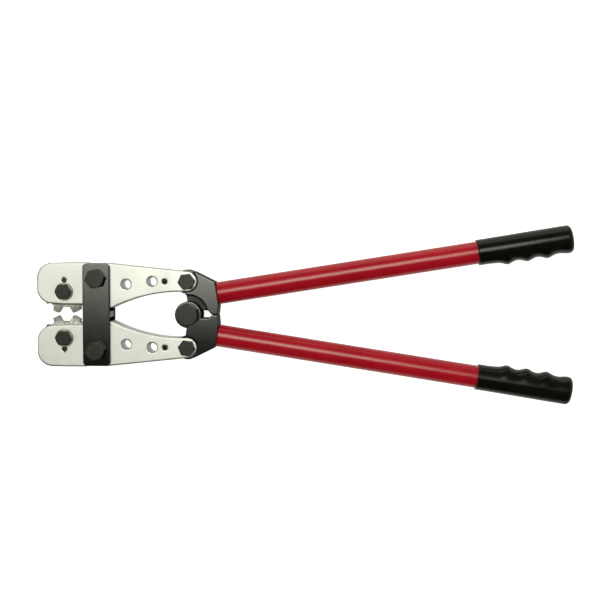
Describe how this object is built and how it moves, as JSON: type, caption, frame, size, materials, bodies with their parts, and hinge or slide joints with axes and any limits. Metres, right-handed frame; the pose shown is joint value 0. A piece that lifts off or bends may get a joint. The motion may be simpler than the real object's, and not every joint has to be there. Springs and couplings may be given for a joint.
{
  "type": "crimping tool",
  "caption": "Long-handled lug crimper with compound levers, jaws on straps and turning index die wheels that close a hexagonal nest.",
  "frame": {"origin": "centre of the closed crimp nest, half way through the tool's thickness", "axes": "+X towards the handles, +Y across the jaws towards the upper jaw, +Z along the bolts towards their heads"},
  "size_m": [0.6455, 0.2158, 0.0617],
  "materials": {
    "jaw_steel": "fine satin plating",
    "die_steel": "ground",
    "washer_steel": "satin",
    "black_paint": "semi-gloss",
    "black_fasteners": "black oxide",
    "red_paint": "gloss",
    "black_rubber": "smooth vinyl"
  },
  "bodies": {
    "head": {"front_strap": "black_paint", "rear_strap": "black_paint", "strap_bolts": "black_fasteners", "strap_nuts": "black_fasteners", "centring_block": "black_paint", "centring_pin": "die_steel"},
    "upper_jaw": {"upper_front_plate": "jaw_steel", "upper_rear_plate": "jaw_steel", "upper_jaw_spacer": "jaw_steel", "upper_jaw_screw": "black_fasteners", "upper_die_bolt": "black_fasteners", "upper_die_washer": "washer_steel", "upper_die_nut": "black_fasteners", "upper_detent_cap": "black_fasteners", "upper_detent_spring": "die_steel", "upper_detent_ball": "die_steel", "upper_arm_bolt": "black_fasteners", "upper_arm_nut": "black_fasteners"},
    "upper_die": {"upper_die_wheel": "die_steel"},
    "upper_handle": {"upper_arm": "black_paint", "upper_tube": "red_paint", "upper_grip": "black_rubber"},
    "lower_jaw": {"lower_front_plate": "jaw_steel", "lower_rear_plate": "jaw_steel", "lower_jaw_spacer": "jaw_steel", "lower_jaw_screw": "black_fasteners", "lower_die_bolt": "black_fasteners", "lower_die_washer": "washer_steel", "lower_die_nut": "black_fasteners", "lower_detent_cap": "black_fasteners", "lower_detent_spring": "die_steel", "lower_detent_ball": "die_steel", "lower_arm_bolt": "black_fasteners", "lower_arm_nut": "black_fasteners"},
    "lower_die": {"lower_die_wheel": "die_steel"},
    "lower_handle": {"lower_arm": "black_paint", "lower_tube": "red_paint", "lower_grip": "black_rubber", "pivot_bolt": "black_fasteners", "pivot_nut": "black_fasteners"}
  },
  "joints": [
    {"name": "upper_jaw_pivot", "type": "hinge", "parent": "head", "child": "upper_jaw", "pos_m": [0.0398, 0.0434, 0], "axis": [0, 0, 1], "range_deg": [-7.6, 0]},
    {"name": "upper_handle_hinge", "type": "hinge", "parent": "upper_jaw", "child": "upper_handle", "pos_m": [0.149, 0.04, 0], "axis": [0, 0, 1], "range_deg": [0, 55.56]},
    {"name": "lower_jaw_pivot", "type": "hinge", "parent": "head", "child": "lower_jaw", "pos_m": [0.0398, -0.0434, 0], "axis": [0, 0, 1], "range_deg": [0, 7.6]},
    {"name": "lower_handle_hinge", "type": "hinge", "parent": "lower_jaw", "child": "lower_handle", "pos_m": [0.149, -0.04, 0], "axis": [0, 0, 1], "range_deg": [-55.6, 0]},
    {"name": "upper_die_index", "type": "hinge", "parent": "upper_jaw", "child": "upper_die", "pos_m": [0, 0.028, 0], "axis": [0, 0, 1], "continuous": true},
    {"name": "lower_die_index", "type": "hinge", "parent": "lower_jaw", "child": "lower_die", "pos_m": [0, -0.028, 0], "axis": [0, 0, 1], "continuous": true}
  ],
  "couplings": [
    {"joint": "upper_jaw_pivot", "follows": "upper_handle_hinge", "ratio": -0.13617},
    {"joint": "lower_jaw_pivot", "follows": "upper_handle_hinge", "ratio": 0.13617},
    {"joint": "lower_handle_hinge", "follows": "upper_handle_hinge", "ratio": -1}
  ]
}
